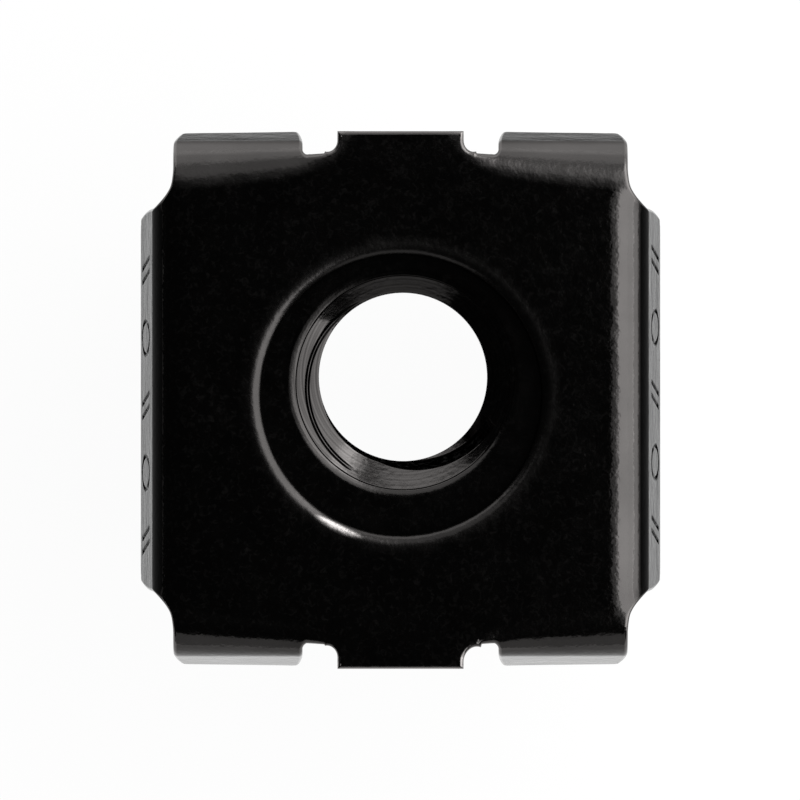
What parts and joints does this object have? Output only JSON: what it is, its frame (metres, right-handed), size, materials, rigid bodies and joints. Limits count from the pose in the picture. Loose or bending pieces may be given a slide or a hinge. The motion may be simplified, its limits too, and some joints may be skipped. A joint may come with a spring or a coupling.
{
  "type": "rack cage nut",
  "caption": "Square nut held loosely in a folded black spring-steel cage that clips into the square hole of a rack rail and takes a machine screw.",
  "frame": {"origin": "centre of the part's outline, at the level of the lips that it stands on", "axes": "+Z along the thread, from the front of the rail to its back, so the cage's plate is on top; +X from the centre to a side wall, +Y to the fingers on the side that the nut has slid to"},
  "size_m": [0.0126, 0.013, 0.0082],
  "materials": {
    "cage_steel": "satin",
    "nut_steel": "satin"
  },
  "bodies": {
    "root": {"cage": "cage_steel", "square_nut": "nut_steel"}
  },
  "joints": []
}
